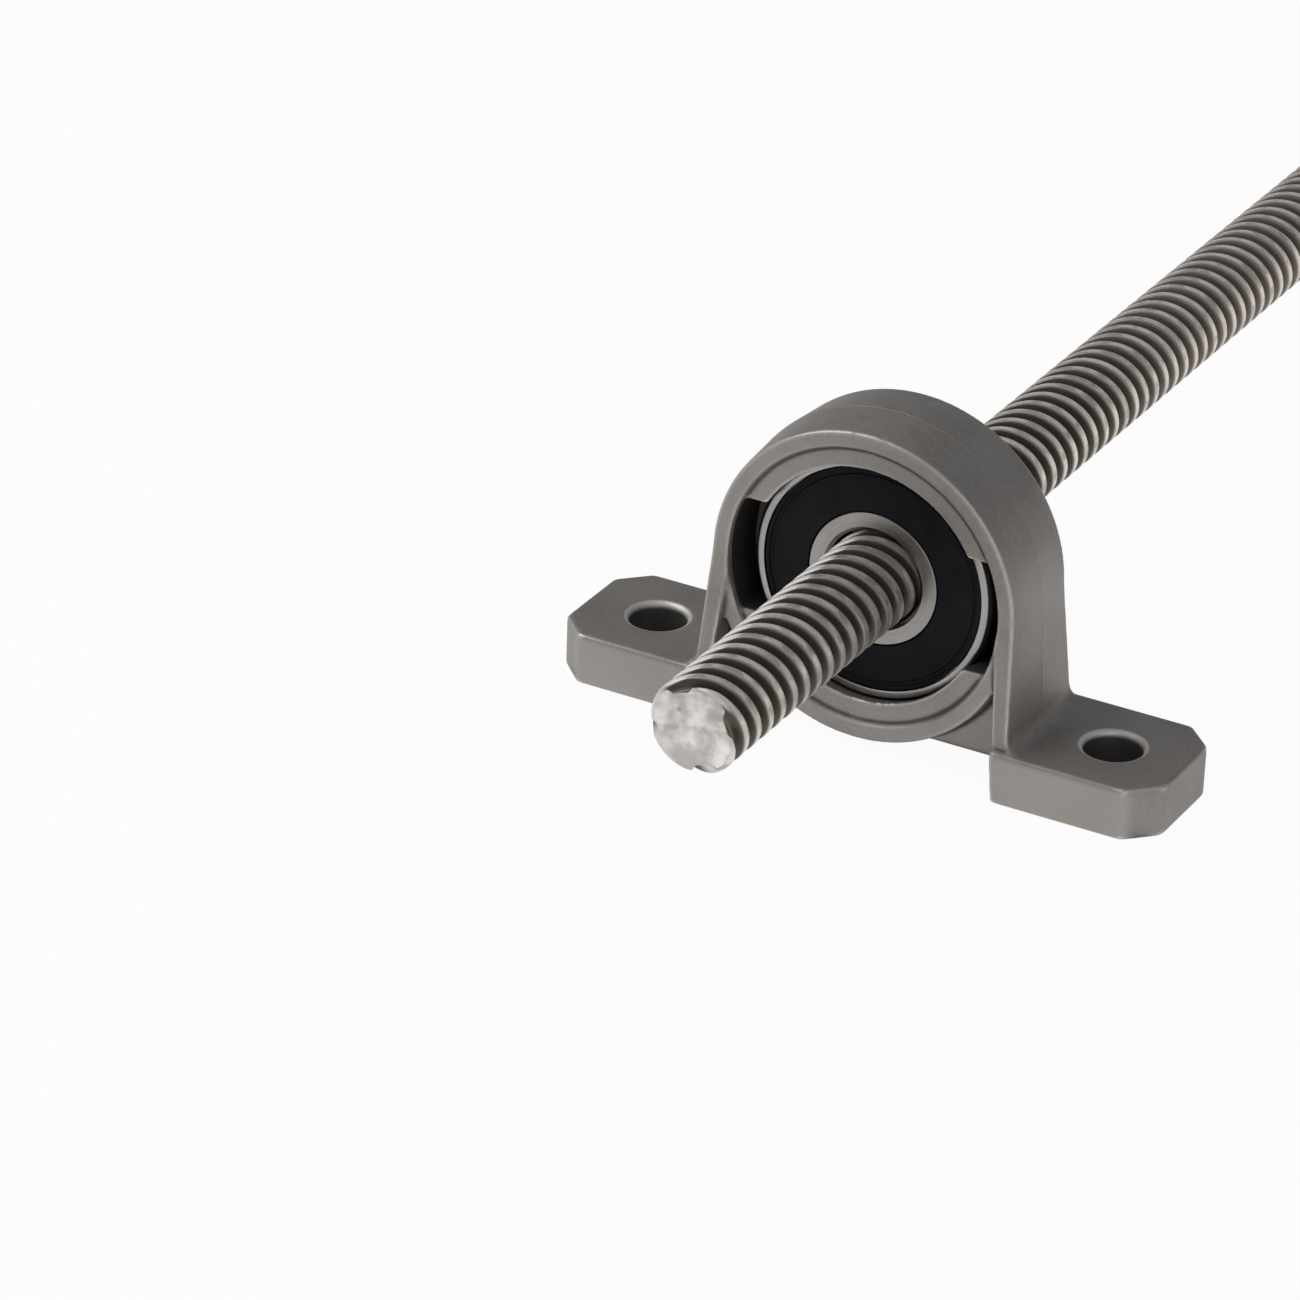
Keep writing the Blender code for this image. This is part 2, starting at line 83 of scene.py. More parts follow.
axis_height = 15.0 * MM
foot_length = 55.0 * MM
foot_depth = 13.0 * MM
foot_thickness = 4.6 * MM
foot_corner = 2.5 * MM
foot_corner_round = 0.6 * MM
bolt_spacing = 42.0 * MM
bolt_hole_radius = 2.45 * MM
bolt_rim_round = 0.5 * MM
crown_radius = 14.0 * MM
ring_depth = 9.6 * MM
casting_draft = 0.35 * MM
flank_lean = radians(3.5)
flank_fillet = 1.15 * MM
rim_width = 1.45 * MM
recess_depth = 0.5 * MM
leg_wall_at_axis = 1.65 * MM
leg_lean = radians(4.8)
web_thickness = 6.0 * MM
web_clearance = 2.1 * MM
slot_height = 9.9 * MM
slot_step = 0.05 * MM
mouth_land = 0.1 * MM
seat_radius = 11.08 * MM
dark_seat_half = 2.7 * MM
dark_slot_start = 8.0 * MM
parting_line_half = 0.22 * MM

skin_grid = 0.15 * MM
skin_band_cells = 5.0
edge_softness = 0.17 * MM
edge_radius = 0.35 * MM
edge_smoothing_rounds = 3
casting_triangles = 185000
crown_steps = 120
turned_facets = 144
hole_facets = 72

zinc_dark = (0.295, 0.270, 0.250)
zinc_light = (0.350, 0.322, 0.302)
zinc_grain = (0.44, 0.41, 0.385)
zinc_lit_foot_front = (0.54, 0.505, 0.475)
zinc_edge_wear_and_highlight = (0.70, 0.675, 0.65)
zinc_corner_shade = (0.06, 0.053, 0.048)
zinc_seat_shade = (0.10, 0.09, 0.084)
zinc_hole_shade = (0.15, 0.137, 0.126)
zinc_hole_rim_highlight = (0.80, 0.77, 0.74)

ring_half = ring_depth / 2
foot_half = foot_depth / 2
front_crown_radius = crown_radius - casting_draft
recess_radius = front_crown_radius - rim_width
recess_face = ring_half - recess_depth
seat_half = recess_face - mouth_land
mouth_radius = sqrt(seat_radius ** 2 - seat_half ** 2)
leg_inner_at_axis = front_crown_radius - leg_wall_at_axis


class Value:
    """A socket of a node tree. Arithmetic on it adds Math nodes to the tree."""

    def __init__(self, tree, socket):
        self.tree = tree
        self.socket = socket

    def node(self, kind, settings=None, sockets=None, output=0):
        """Any node: its settings are set first, then the values or links of its sockets."""
        made = self.tree.nodes.new(kind)
        for name, setting in (settings or {}).items():
            setattr(made, name, setting)
        for key, value in (sockets or {}).items():
            if isinstance(value, Value):
                self.tree.links.new(value.socket, made.inputs[key])
            else:
                made.inputs[key].default_value = value
        return Value(self.tree, made.outputs[output])

    def math(self, operation, *others):
        """A Math node that has this value as its first operand."""
        operands = dict(enumerate((self, *others)))
        return self.node("ShaderNodeMath", {"operation": operation}, operands)

    def __add__(self, other):
        return self.math("ADD", other)

    def __sub__(self, other):
        return self.math("SUBTRACT", other)

    def __rsub__(self, other):
        return self.node("ShaderNodeMath", {"operation": "SUBTRACT"}, {0: other, 1: self})

    def __mul__(self, other):
        return self.math("MULTIPLY", other)

    def __truediv__(self, other):
        return self.math("DIVIDE", other)

    def __abs__(self):
        return self.math("ABSOLUTE")

    def length_with(self, other):
        """The length of the vector that has this value and another as its two parts."""
        return (self * self + other * other).math("SQRT")

    def ramp(self, low, high):
        """0 below low, 1 above high and a smooth rise between them."""
        settings = {"interpolation_type": "SMOOTHSTEP"}
        return self.node("ShaderNodeMapRange", settings, {0: self, 1: low, 2: high})

    def fade(self, low, high):
        """1 below low, 0 above high and a smooth fall between them."""
        return 1.0 - self.ramp(low, high)

    def parts(self):
        """The three parts of a vector."""
        split = self.node("ShaderNodeSeparateXYZ", {}, {0: self})
        outputs = split.socket.node.outputs
        return [Value(self.tree, socket) for socket in outputs]

    def stretched(self, x, y, z):
        """A place with each of its parts scaled."""
        settings = {"operation": "MULTIPLY"}
        return self.node("ShaderNodeVectorMath", settings, {0: self, 1: (x, y, z)})

    def noise(self, grains_per_metre, detail=2.0):
        """Noise from 0 to 1 at this place."""
        sockets = {"Vector": self, "Scale": grains_per_metre, "Detail": detail}
        return self.node("ShaderNodeTexNoise", {}, sockets)

    def blend(self, low, high):
        """The colour low where this mask is 0, and high where it is 1."""
        low, high = [c if isinstance(c, Value) else (*c, 1.0) for c in (low, high)]
        return self.node("ShaderNodeMix", {"data_type": "RGBA"}, {0: self, 6: low, 7: high}, 2)

    def relief(self, depth):
        """A bump of this height, where 1 stands for the depth."""
        return self.node("ShaderNodeBump", {}, {"Height": self * depth, "Distance": 1.0})


def new_finish(name):
    """A material, its Principled shader, and the place on the piece as a Value."""
    finish = bpy.data.materials.new(name)
    finish.use_nodes = True
    tree = finish.node_tree
    place = tree.nodes.new("ShaderNodeTexCoord").outputs["Object"]
    return finish, tree.nodes["Principled BSDF"], Value(tree, place)


def coat(shader, sockets):
    """Set or link the sockets of a Principled shader."""
    for name, value in sockets.items():
        if isinstance(value, Value):
            value.tree.links.new(value.socket, shader.inputs[name])
        else:
            shader.inputs[name].default_value = value


def arc(center, radius, start, end, steps):
    """Points on an arc, both ends included."""
    angles = [start + (end - start) * i / steps for i in range(steps + 1)]
    return [(center[0] + radius * cos(a), center[1] + radius * sin(a)) for a in angles]


def mirrored(points):
    """The same points on the other side of the second axis, in reverse order."""
    return [(-across, along) for across, along in reversed(points)]


def rounded_outline(corners, steps=6):
    """A closed outline from (across, along, round) corners, each rounded by its own radius."""
    points = []
    for i, (across, along, size) in enumerate(corners):
        here = Vector((across, along))
        if size == 0.0:
            points.append((across, along))
            continue
        before = (Vector(corners[i - 1][:2]) - here).normalized()
        after = (Vector(corners[(i + 1) % len(corners)][:2]) - here).normalized()
        half = before.angle(after) / 2
        start = here + before * size / tan(half)
        end = here + after * size / tan(half)
        center = here + (before + after).normalized() * size / sin(half)
        sweep = (start - center).angle_signed(end - center)
        for k in range(steps + 1):
            turn = Matrix.Rotation(-sweep * k / steps, 2)
            points.append(tuple(center + turn @ (start - center)))
    return points


def add_piece(name, mesh, finish=None, crease=30.0):
    """An object at the origin, shaded smooth apart from its sharp edges."""
    mesh.shade_smooth()
    mesh.set_sharp_from_angle(angle=radians(crease))
    piece = bpy.data.objects.new(name, mesh)
    bpy.context.scene.collection.objects.link(piece)
    if finish:
        mesh.materials.clear()
        mesh.materials.append(finish)
    return piece


def mesh_from(name, bm):
    """A plain mesh from a closed bmesh, with its faces pointing outwards."""
    bmesh.ops.remove_doubles(bm, verts=bm.verts, dist=1e-7)
    bmesh.ops.recalc_face_normals(bm, faces=bm.faces)
    mesh = bpy.data.meshes.new(name)
    bm.to_mesh(mesh)
    bm.free()
    return mesh


def loft(rings):
    """A closed skin through rings of equal point counts, capped at both ends."""
    bm = bmesh.new()
    loops = [[bm.verts.new(point) for point in ring] for ring in rings]
    for lower, upper in zip(loops, loops[1:]):
        for i in range(len(lower)):
            j = (i + 1) % len(lower)
            bm.faces.new((lower[i], lower[j], upper[j], upper[i]))
    bm.faces.new(loops[0])
    bm.faces.new(reversed(loops[-1]))
    return bm


def lathe(profile, facets, axis=(0.0, 1.0, 0.0), closed=True):
    """Turn a profile of (radius, distance along the axis) points about Y or Z."""
    bm = bmesh.new()
    upright = axis[2] > 0.5
    verts = [bm.verts.new((r, 0.0, a) if upright else (r, a, 0.0)) for r, a in profile]
    pairs = list(zip(verts, verts[1:]))
    if closed:
        pairs.append((verts[-1], verts[0]))
    edges = [bm.edges.new(pair) for pair in pairs]
    geometry = verts + edges
    bmesh.ops.spin(
        bm, geom=geometry, cent=(0, 0, 0), axis=axis, angle=2 * pi, steps=facets, use_merge=True
    )
    return bm


def half_depth(z):
    """Half the block's depth at a height: constant beside the ring, wider towards the feet."""
    return ring_half + (foot_half - ring_half) * max(0.0, axis_height - z) / axis_height


def block_outline(radius):
    """The arch, its flanks and the fillets on the feet, for one crown radius."""
    lean = tan(flank_lean)
    tangent_x = radius * cos(flank_lean)
    tangent_z = axis_height + radius * sin(flank_lean)
    fillet_z = foot_thickness + flank_fillet
    flank_x = tangent_x + (tangent_z - fillet_z) * lean
    fillet_x = flank_x + flank_fillet / cos(flank_lean)
    fillet = arc((fillet_x, fillet_z), flank_fillet, -pi / 2, flank_lean - pi, 16)
    at_axis = (tangent_x + (tangent_z - axis_height) * lean, axis_height)
    lower_right = [(fillet_x, foot_thickness / 2)] + fillet + [at_axis]
    arch = arc((0.0, axis_height), radius, flank_lean, pi - flank_lean, crown_steps)
    return lower_right + arch + mirrored(lower_right)


def leg_inner_x(z):
    """Distance from the middle to a leg's inner face."""
    return leg_inner_at_axis + (axis_height - z) * tan(leg_lean)


def pocket_outline(radius, floor_z, ceiling=None):
    """The space between the legs and below the ring, for one ring radius."""
    if ceiling is None:
        slope = tan(leg_lean)
        qa = 1 + slope * slope
        qb = leg_inner_at_axis * slope
        qc = leg_inner_at_axis ** 2 - radius ** 2
        drop = (sqrt(qb * qb - qa * qc) - qb) / qa
        shoulder = [(leg_inner_at_axis + drop * slope, axis_height - drop)]
    else:
        drop = axis_height - ceiling
        shoulder = [(leg_inner_x(ceiling), ceiling), (sqrt(radius ** 2 - drop ** 2), ceiling)]
    start = -atan2(drop, shoulder[-1][0])
    ring = arc((0.0, axis_height), radius, start, -pi - start, 90)[1:-1]
    half = [(leg_inner_x(floor_z), floor_z)] + shoulder
    return half + ring + mirrored(half)


def block_body():
    """The tombstone-shaped body, drafted from its parting plane."""
    rings = []
    for side, radius in ((-1, front_crown_radius), (0, crown_radius), (1, front_crown_radius)):
        outline = block_outline(radius)
        rings.append([(x, side * half_depth(z), z) for x, z in outline])
    bm = loft(rings)
    for face in [f for f in bm.faces if len(f.verts) > 4]:
        corners = [v for v in face.verts if abs(v.co.z - axis_height) < 1e-7]
        bmesh.utils.face_split(face, corners[0], corners[1])
    return bm


def foot_plate():
    """The plate that both feet are part of, with its corners cut off and rounded."""
    a = foot_length / 2
    b = foot_half
    c = foot_corner
    half = [(a, b - c), (a - c, b), (c - a, b), (-a, b - c)]
    corners = half + [(-x, -y) for x, y in half]
    outline = rounded_outline([(x, y, foot_corner_round) for x, y in corners])
    return loft([[(x, y, z) for x, y in outline] for z in (0.0, foot_thickness)])


def pocket(side):
    """Cutter for the pocket in front of or behind the web, round the drafted ring."""
    half_web = web_thickness / 2
    web_radius = front_crown_radius + casting_draft * (1 - half_web / ring_half)
    slices = [
        (front_crown_radius, foot_depth),
        (front_crown_radius, ring_half),
        (web_radius, half_web),
    ]
    low = -foot_thickness
    return loft([[(x, side * y, z) for x, z in pocket_outline(r, low)] for r, y in slices])


def under_web():
    """Cutter for the gap between the web and the bed."""
    outline = pocket_outline(crown_radius, -foot_thickness, web_clearance)
    half = (web_thickness / 2 + ring_half) / 2
    return loft([[(x, y, z) for x, z in outline] for y in (-half, half)])


def leg_relief(side):
    """Cutter that keeps the ring's face flat where the legs spread in front of it."""
    half = [(leg_inner_x(z), z) for z in (-foot_thickness, axis_height)]
    outline = half + mirrored(half)
    return loft([[(x, side * y, z) for x, z in outline] for y in (foot_depth, ring_half)])


def bearing_bore():
    """Cutter for the spherical seat, its mouths and the recessed faces."""
    seat_angle = asin(seat_half / seat_radius)
    seat = arc((0.0, 0.0), seat_radius, seat_angle, -seat_angle, 24)
    mouth = [
        (0.0, foot_depth),
        (recess_radius, foot_depth),
        (recess_radius, recess_face),
        (mouth_radius, recess_face),
    ]
    profile = mouth + seat + [(r, -y) for r, y in reversed(mouth)]
    bm = lathe(profile, turned_facets, closed=False)
    bmesh.ops.translate(bm, verts=bm.verts, vec=(0.0, 0.0, axis_height))
    return bm


def loading_slot(side):
    """Cutter for a slot through which the insert is put in edge on."""
    half = slot_height / 2
    radius = recess_radius - slot_step
    reach = asin(half / radius)
    outer = arc((0.0, axis_height), radius, -reach, reach, 16)
    inside = mouth_radius / 2
    outline = outer + [(inside, axis_height + half), (inside, axis_height - half)]
    return loft([[(side * x, y, z) for x, z in outline] for y in (-foot_depth, 0.0)])


def bolt_hole(side):
    """Cutter for an upright bolt hole with rounded rims."""
    rim = bolt_hole_radius + bolt_rim_round
    upper = arc((rim, foot_thickness - bolt_rim_round), bolt_rim_round, pi, pi / 2, 10)
    lower = arc((rim, bolt_rim_round), bolt_rim_round, -pi / 2, -pi, 10)
    start = [(0.0, -foot_thickness), (rim, -foot_thickness)]
    end = [(rim, 2 * foot_thickness), (0.0, 2 * foot_thickness)]
    profile = start + lower + upper + end
    bm = lathe(profile, hole_facets, axis=(0.0, 0.0, 1.0), closed=False)
    bmesh.ops.translate(bm, verts=bm.verts, vec=(side * bolt_spacing / 2, 0.0, 0.0))
    return bm


def evaluated_mesh(piece):
    """A plain mesh of a piece with its modifiers applied."""
    graph = bpy.context.evaluated_depsgraph_get()
    return bpy.data.meshes.new_from_object(piece.evaluated_get(graph))


def soft_skin(mesh, grid, softness):
    """A new skin over a mesh: its distance field is blurred, which rounds every edge."""
    mesh.calc_loop_triangles()
    points = np.empty(len(mesh.vertices) * 3, np.float32)
    mesh.vertices.foreach_get("co", points)
    corners = np.empty(len(mesh.loop_triangles) * 3, np.int32)
    mesh.loop_triangles.foreach_get("vertices", corners)
    transform = openvdb.createLinearTransform(voxelSize=grid)
    field = openvdb.FloatGrid.createLevelSetFromPolygons(
        points.reshape(-1, 3),
        triangles=corners.reshape(-1, 3),
        transform=transform,
        halfWidth=skin_band_cells,
    )
    reach = ceil(3 * softness / grid)
    low, high = field.evalActiveVoxelBoundingBox()
    origin = [n - reach for n in low]
    values = np.empty([b - a + 1 + 2 * reach for a, b in zip(low, high)], np.float32)
    field.copyToArray(values, ijk=origin)
    shifts = range(-reach, reach + 1)
    weights = np.exp([-0.5 * (n * grid / softness) ** 2 for n in shifts])
    weights /= weights.sum()
    for axis in range(3):
        values = sum(w * np.roll(values, n, axis) for n, w in zip(shifts, weights))
    soft = openvdb.FloatGrid(field.background)
    soft.copyFromArray(values.astype(np.float32), ijk=origin)
    soft.transform = transform
    points, quads = soft.convertToQuads()
    skin = bpy.data.meshes.new(mesh.name)
    skin.from_pydata(points.tolist(), [], quads.tolist())
    return skin


def cast_block():
    """Join and cut the sharp forms, then soften every edge as a die casting has it."""
    block = add_piece("block_forms", mesh_from("block_forms", block_body()))
    tools = [("UNION", foot_plate()), ("DIFFERENCE", under_web()), ("DIFFERENCE", bearing_bore())]
    for side in (-1, 1):
        for form in (leg_relief, pocket, loading_slot, bolt_hole):
            tools.append(("DIFFERENCE", form(side)))
    helpers = [block]
    for number, (operation, bm) in enumerate(tools):
        tool = add_piece("tool_%d" % number, mesh_from("tool", bm))
        modifier = block.modifiers.new("form", "BOOLEAN")
        modifier.operation = operation
        modifier.object = tool
        helpers.append(tool)
    fine = soft_skin(evaluated_mesh(block), skin_grid, edge_softness)
    for helper in helpers:
        bpy.data.objects.remove(helper)
    carrier = add_piece("housing_cast", fine)
    thin = carrier.modifiers.new("thin", "DECIMATE")
    thin.ratio = min(1.0, casting_triangles / (2 * len(fine.polygons)))
    mesh = evaluated_mesh(carrier)
    carrier.modifiers.remove(thin)
    carrier.data = mesh
    return carrier


def mark_edges(piece, radius):
    """Store how far each point stands out as an edge (1) or lies in a corner (-1)."""
    mesh = piece.data
    count = len(mesh.vertices)
    points = np.empty(count * 3)
    mesh.vertices.foreach_get("co", points)
    points = points.reshape(-1, 3)
    normals = np.empty(count * 3)
    mesh.vertex_normals.foreach_get("vector", normals)
    normals = normals.reshape(-1, 3)
    edges = np.empty(len(mesh.edges) * 2, int)
    mesh.edges.foreach_get("vertices", edges)
    ends = np.vstack((edges.reshape(-1, 2), edges.reshape(-1, 2)[:, ::-1]))
    step = points[ends[:, 1]] - points[ends[:, 0]]
    drop = -2 * (step * normals[ends[:, 0]]).sum(1) / (step * step).sum(1)
    neighbours = np.bincount(ends[:, 0], minlength=count)
    bend = np.bincount(ends[:, 0], drop, count) / neighbours
    for _ in range(edge_smoothing_rounds):
        bend = (bend + np.bincount(ends[:, 0], bend[ends[:, 1]], count) / neighbours) / 2
    relief = np.clip(bend * radius, -1.0, 1.0)
    attribute = mesh.attributes.new("edge_relief", "FLOAT", "POINT")
    attribute.data.foreach_set("value", relief.astype(np.float32))


def blasted_zinc():
    """Warm grey zinc, blasted: fine grain, faint clouds, worn edges and a parting line, with
    painted highlights and shade.
    """
    finish, shader, place = new_finish("blasted_zinc")
    relief = place.node("ShaderNodeAttribute", {"attribute_name": "edge_relief"}, {}, "Fac")
    clouds = place.noise(160.0, 3.0)
    grain = place.noise(2600.0, 4.0)
    # Edges are paler, partly from wear and partly as a painted highlight
    edge = relief.ramp(0.12, 0.75)
    # Painted shade: the corners are coloured darker
    corner = (0.0 - relief).ramp(0.05, 0.4)
    x, y, z = place.parts()
    # Painted shade: the seat's inside and the slots are coloured dark, where they lie in shade
    from_axis = x.length_with(z - axis_height)
    bore = from_axis.fade(recess_radius + 0.1 * MM, recess_radius + 0.4 * MM)
    seat = bore * abs(y).fade(dark_seat_half, dark_seat_half + 0.4 * MM)
    slot = bore * abs(x).ramp(dark_slot_start, dark_slot_start + 0.6 * MM)
    slot = slot * abs(y).fade(seat_half - 0.15 * MM, recess_face)
    slot = slot * abs(z - axis_height).fade(slot_height / 2, slot_height / 2 + 0.2 * MM)
    # Bolt holes: painted shade on the wall below a painted highlight on the rim
    from_hole = (abs(x) - bolt_spacing / 2).length_with(y) - bolt_hole_radius
    hole_wall_shade = from_hole.fade(0.05 * MM, 0.3 * MM)
    hole_wall_shade = hole_wall_shade * z.fade(foot_thickness - 0.7 * MM, foot_thickness - 0.2 * MM)
    hole_rim_highlight = abs(from_hole - 0.2 * MM).fade(0.1 * MM, 0.3 * MM)
    hole_rim_highlight = hole_rim_highlight * z.ramp(foot_thickness - 0.7 * MM, foot_thickness - 0.4 * MM)
    # Painted light: the front and back faces of the feet are coloured paler than the tops
    lit_foot_front = abs(y).ramp(foot_half - 0.9 * MM, foot_half)
    lit_foot_front = lit_foot_front * z.fade(foot_thickness - 0.7 * MM, foot_thickness - 0.1 * MM)
    seam = abs(y).fade(0.0, parting_line_half)
    seam = seam * z.ramp(foot_thickness, foot_thickness + 3.0 * MM)
    tone = clouds.ramp(0.3, 0.7).blend(zinc_dark, zinc_light)
    tone = (grain.ramp(0.35, 0.75) * 0.35).blend(tone, zinc_grain)
    tone = (lit_foot_front * 0.35).blend(tone, zinc_lit_foot_front)
    tone = (edge * 0.6).blend(tone, zinc_edge_wear_and_highlight)
    tone = (corner * 0.8).blend(tone, zinc_corner_shade)
    tone = seat.math("MAXIMUM", slot).blend(tone, zinc_seat_shade)
    tone = hole_wall_shade.blend(tone, zinc_hole_shade)
    tone = (hole_rim_highlight * 0.8).blend(tone, zinc_hole_rim_highlight)
    height = grain * 0.6 + clouds * 0.4 + seam * 1.6
    coat(shader, {
        "Base Color": tone,
        "Roughness": grain * 0.14 - edge * 0.16 + 0.52,
        "Metallic": 0.85,
        "Normal": height.relief(0.035 * MM),
    })
    return finish


housing = cast_block()
mark_edges(housing, edge_radius)
housing.data.materials.clear()
housing.data.materials.append(blasted_zinc())
housing.data.shade_smooth()
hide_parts("housing")
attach(housing, "block")


# Outer ring
# The insert's outer ring in bearing steel. Its outside is ground to a sphere, so that it can
# align itself in the block, and its corners are rounded.

outer_ring_radius = 11.0 * MM
outer_width = 5.5 * MM
outer_shoulder_radius = 8.45 * MM
seal_recess_radius = 9.87 * MM
ball_circle_radius = 7.12 * MM
race_radius = 1.81 * MM
outer_half = outer_width / 2
ring_proud = 0.15 * MM
ring_corner_round = 0.3 * MM
seal_lip_round = 0.1 * MM
seal_land = 2.12 * MM

ground_dark = (0.28, 0.27, 0.262)
ground_light = (0.42, 0.41, 0.40)
ring_shade = (0.05, 0.048, 0.045)
ground_shade_radius = 10.75 * MM


def turned_piece(name, profile, finish=None):
    """A piece turned about the screw's axis."""
    bm = lathe(profile, turned_facets)
    bmesh.ops.translate(bm, verts=bm.verts, vec=(0.0, 0.0, axis_height))
    return add_piece(name, mesh_from(name, bm), finish, crease=40.0)


def ground_steel(name, low, high, roughness, shade_from):
    """Bearing steel with the fine rings of grinding and turning, and painted shade from one radius
    on.
    """
    finish, shader, place = new_finish(name)
    x, y, z = place.parts()
    radius = x.length_with(z - axis_height)
    section = place.node("ShaderNodeCombineXYZ", {}, {0: radius, 1: y, 2: 0.0})
    rings = section.noise(12600.0, 3.0)
    clouds = place.noise(240.0, 3.0)
    tone = (rings * 0.6 + clouds * 0.5).ramp(0.3, 0.8).blend(low, high)
    # Painted shade: the ring is coloured dark beyond this radius
    tone = radius.ramp(shade_from, shade_from + 0.15 * MM).blend(tone, ring_shade)
    coat(shader, {
        "Base Color": tone,
        "Roughness": rings * 0.12 + (roughness - 0.06),
        "Metallic": 1.0,
        "Normal": rings.relief(0.004 * MM),
    })
    return finish


def outer_ring_profile():
    """Half the ring's section, sphere outside and ball groove inside."""
    face = outer_half + ring_proud
    edge = ring_corner_round
    face_radius = sqrt(outer_ring_radius ** 2 - face ** 2)
    sphere_angle = asin((face - edge) / outer_ring_radius)
    outside = arc((0.0, 0.0), outer_ring_radius, sphere_angle, -sphere_angle, 24)
    rise = outer_shoulder_radius - ball_circle_radius
    groove_angle = asin(sqrt(race_radius ** 2 - rise ** 2) / race_radius)
    groove = arc((ball_circle_radius, 0.0), race_radius, -groove_angle, groove_angle, 24)
    # The corner is a trace smaller than its round, and starts a little way along it, so that it
    # stays inside the sphere
    rim = arc((face_radius - edge, edge - face), edge * 0.98, -0.3, -pi / 2, 8)
    lip_center = (seal_recess_radius + seal_lip_round, seal_lip_round - face)
    lip = arc(lip_center, seal_lip_round, -pi / 2, -pi, 6)
    front = rim + lip + [(seal_recess_radius, -seal_land), (outer_shoulder_radius, -seal_land)]
    return outside + front + groove + [(r, -a) for r, a in reversed(front)]


ring_finish = ground_steel(
    "ground_ring_steel", ground_dark, ground_light, 0.3, ground_shade_radius
)
outer_ring = turned_piece("outer_ring_ground", outer_ring_profile(), ring_finish)
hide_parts("outer_ring")
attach(outer_ring, "insert")


# Inner ring
# The ring that the screw runs in, longer at the back, where two grub screws clamp it.
# Its front face is turned, so it shows faint rings.

inner_radius = 5.8 * MM
inner_width = 11.0 * MM
bore_radius = 4.25 * MM
inner_front = -outer_half
inner_back = inner_front + inner_width
grub_angles = (radians(90.0), radians(-30.0))
grub_hole_radius = 1.58 * MM
grub_place = (outer_half + inner_back) / 2
drill_start = bore_radius / 2
drill_end = inner_radius * 1.5
inner_edge_round = 0.12 * MM
bore_chamfer = 0.3 * MM
# Not a multiple of four, so that no facet edge of the drill lies along one of the ring
drill_facets = 46

turned_dark = (0.24, 0.228, 0.218)
turned_light = (0.36, 0.342, 0.325)
turned_shade_radius = 5.72 * MM


def inner_ring_profile():
    """The ring's section, ball groove outside and chamfered bore inside."""
    rise = ball_circle_radius - inner_radius
    groove_angle = asin(sqrt(race_radius ** 2 - rise ** 2) / race_radius)
    groove = arc((ball_circle_radius, 0.0), race_radius, pi + groove_angle, pi - groove_angle, 24)
    edge = inner_edge_round
    chamfer = bore_chamfer
    front = [(bore_radius, inner_front + chamfer), (bore_radius + chamfer, inner_front)]
    front += arc((inner_radius - edge, inner_front + edge), edge, -pi / 2, 0.0, 6)
    rear = arc((inner_radius - edge, inner_back - edge), edge, 0.0, pi / 2, 6)
    rear += [(bore_radius + chamfer, inner_back), (bore_radius, inner_back - chamfer)]
    return front + groove + rear


def aimed(bm, angle):
    """Move a form made along Y so that it points outwards in the plane of the grub screws."""
    outwards = Vector((cos(angle), 0.0, sin(angle)))
    sideways = Vector((0.0, 1.0, 0.0))
    turn = Matrix((sideways.cross(outwards), outwards, sideways)).transposed()
    bmesh.ops.rotate(bm, verts=bm.verts, cent=(0, 0, 0), matrix=turn)
    bmesh.ops.translate(bm, verts=bm.verts, vec=(0.0, grub_place, axis_height))
    return bm


def drilled_ring():
    """The inner ring with its two threaded holes."""
    ring = turned_piece("inner_ring_ground", inner_ring_profile())
    profile = [
        (0.0, drill_start),
        (grub_hole_radius, drill_start),
        (grub_hole_radius, drill_end),
        (0.0, drill_end),
    ]
    tools = []
    for angle in grub_angles:
        drill = aimed(lathe(profile, drill_facets, closed=False), angle)
        tool = add_piece("drill", mesh_from("drill", drill))
        modifier = ring.modifiers.new("drill", "BOOLEAN")
        modifier.object = tool
        tools.append(tool)
    mesh = evaluated_mesh(ring)
    ring.modifiers.clear()
    ring.data = mesh
    for tool in tools:
        bpy.data.objects.remove(tool)
    mesh.materials.clear()
    mesh.materials.append(ground_steel(
        "turned_ring_steel", turned_dark, turned_light, 0.36, turned_shade_radius
    ))
    mesh.set_sharp_from_angle(angle=radians(35.0))
    return ring


inner_ring = drilled_ring()
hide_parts("inner_ring")
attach(inner_ring, "screw")


# Seals
# A black rubber ring on each side, snapped into the outer ring. It is moulded with a
# thicker lip at the inside and a groove near its rim.

seal_outside = 2.75 * MM
seal_inside = 2.2 * MM
seal_rim = 9.8 * MM
seal_lip = 5.88 * MM
seal_lip_width = 0.8 * MM
seal_rim_width = 0.3 * MM
seal_groove_width = 0.26 * MM
seal_groove_depth = 0.06 * MM
seal_dip = 0.12 * MM

rubber_dark = (0.006, 0.0055, 0.007)
rubber_light = (0.012, 0.0105, 0.0135)
rubber_dust = (0.035, 0.032, 0.033)


def seal_profile(side):
    """The seal's section, for the front or the back."""
    low = seal_outside - seal_dip
    groove = low - seal_groove_depth
    groove_outer = seal_rim - seal_rim_width - 0.06 * MM
    groove_inner = groove_outer - seal_groove_width
    corners = [
        (seal_lip, seal_inside, 0.0),
        (seal_rim, seal_inside, 0.0),
        (seal_rim, seal_outside, 0.08 * MM),
        (seal_rim - seal_rim_width, seal_outside, 0.06 * MM),
        (groove_outer, groove, 0.05 * MM),
        (groove_inner, groove, 0.05 * MM),
        (groove_inner - 0.08 * MM, low + 0.05 * MM, 0.05 * MM),
        (seal_lip + seal_lip_width + 0.25 * MM, low + 0.02 * MM, 0.2 * MM),
        (seal_lip + seal_lip_width, seal_outside, 0.12 * MM),
        (seal_lip, seal_outside, 0.1 * MM),
    ]
    return [(r, side * a) for r, a in rounded_outline(corners, 5)]


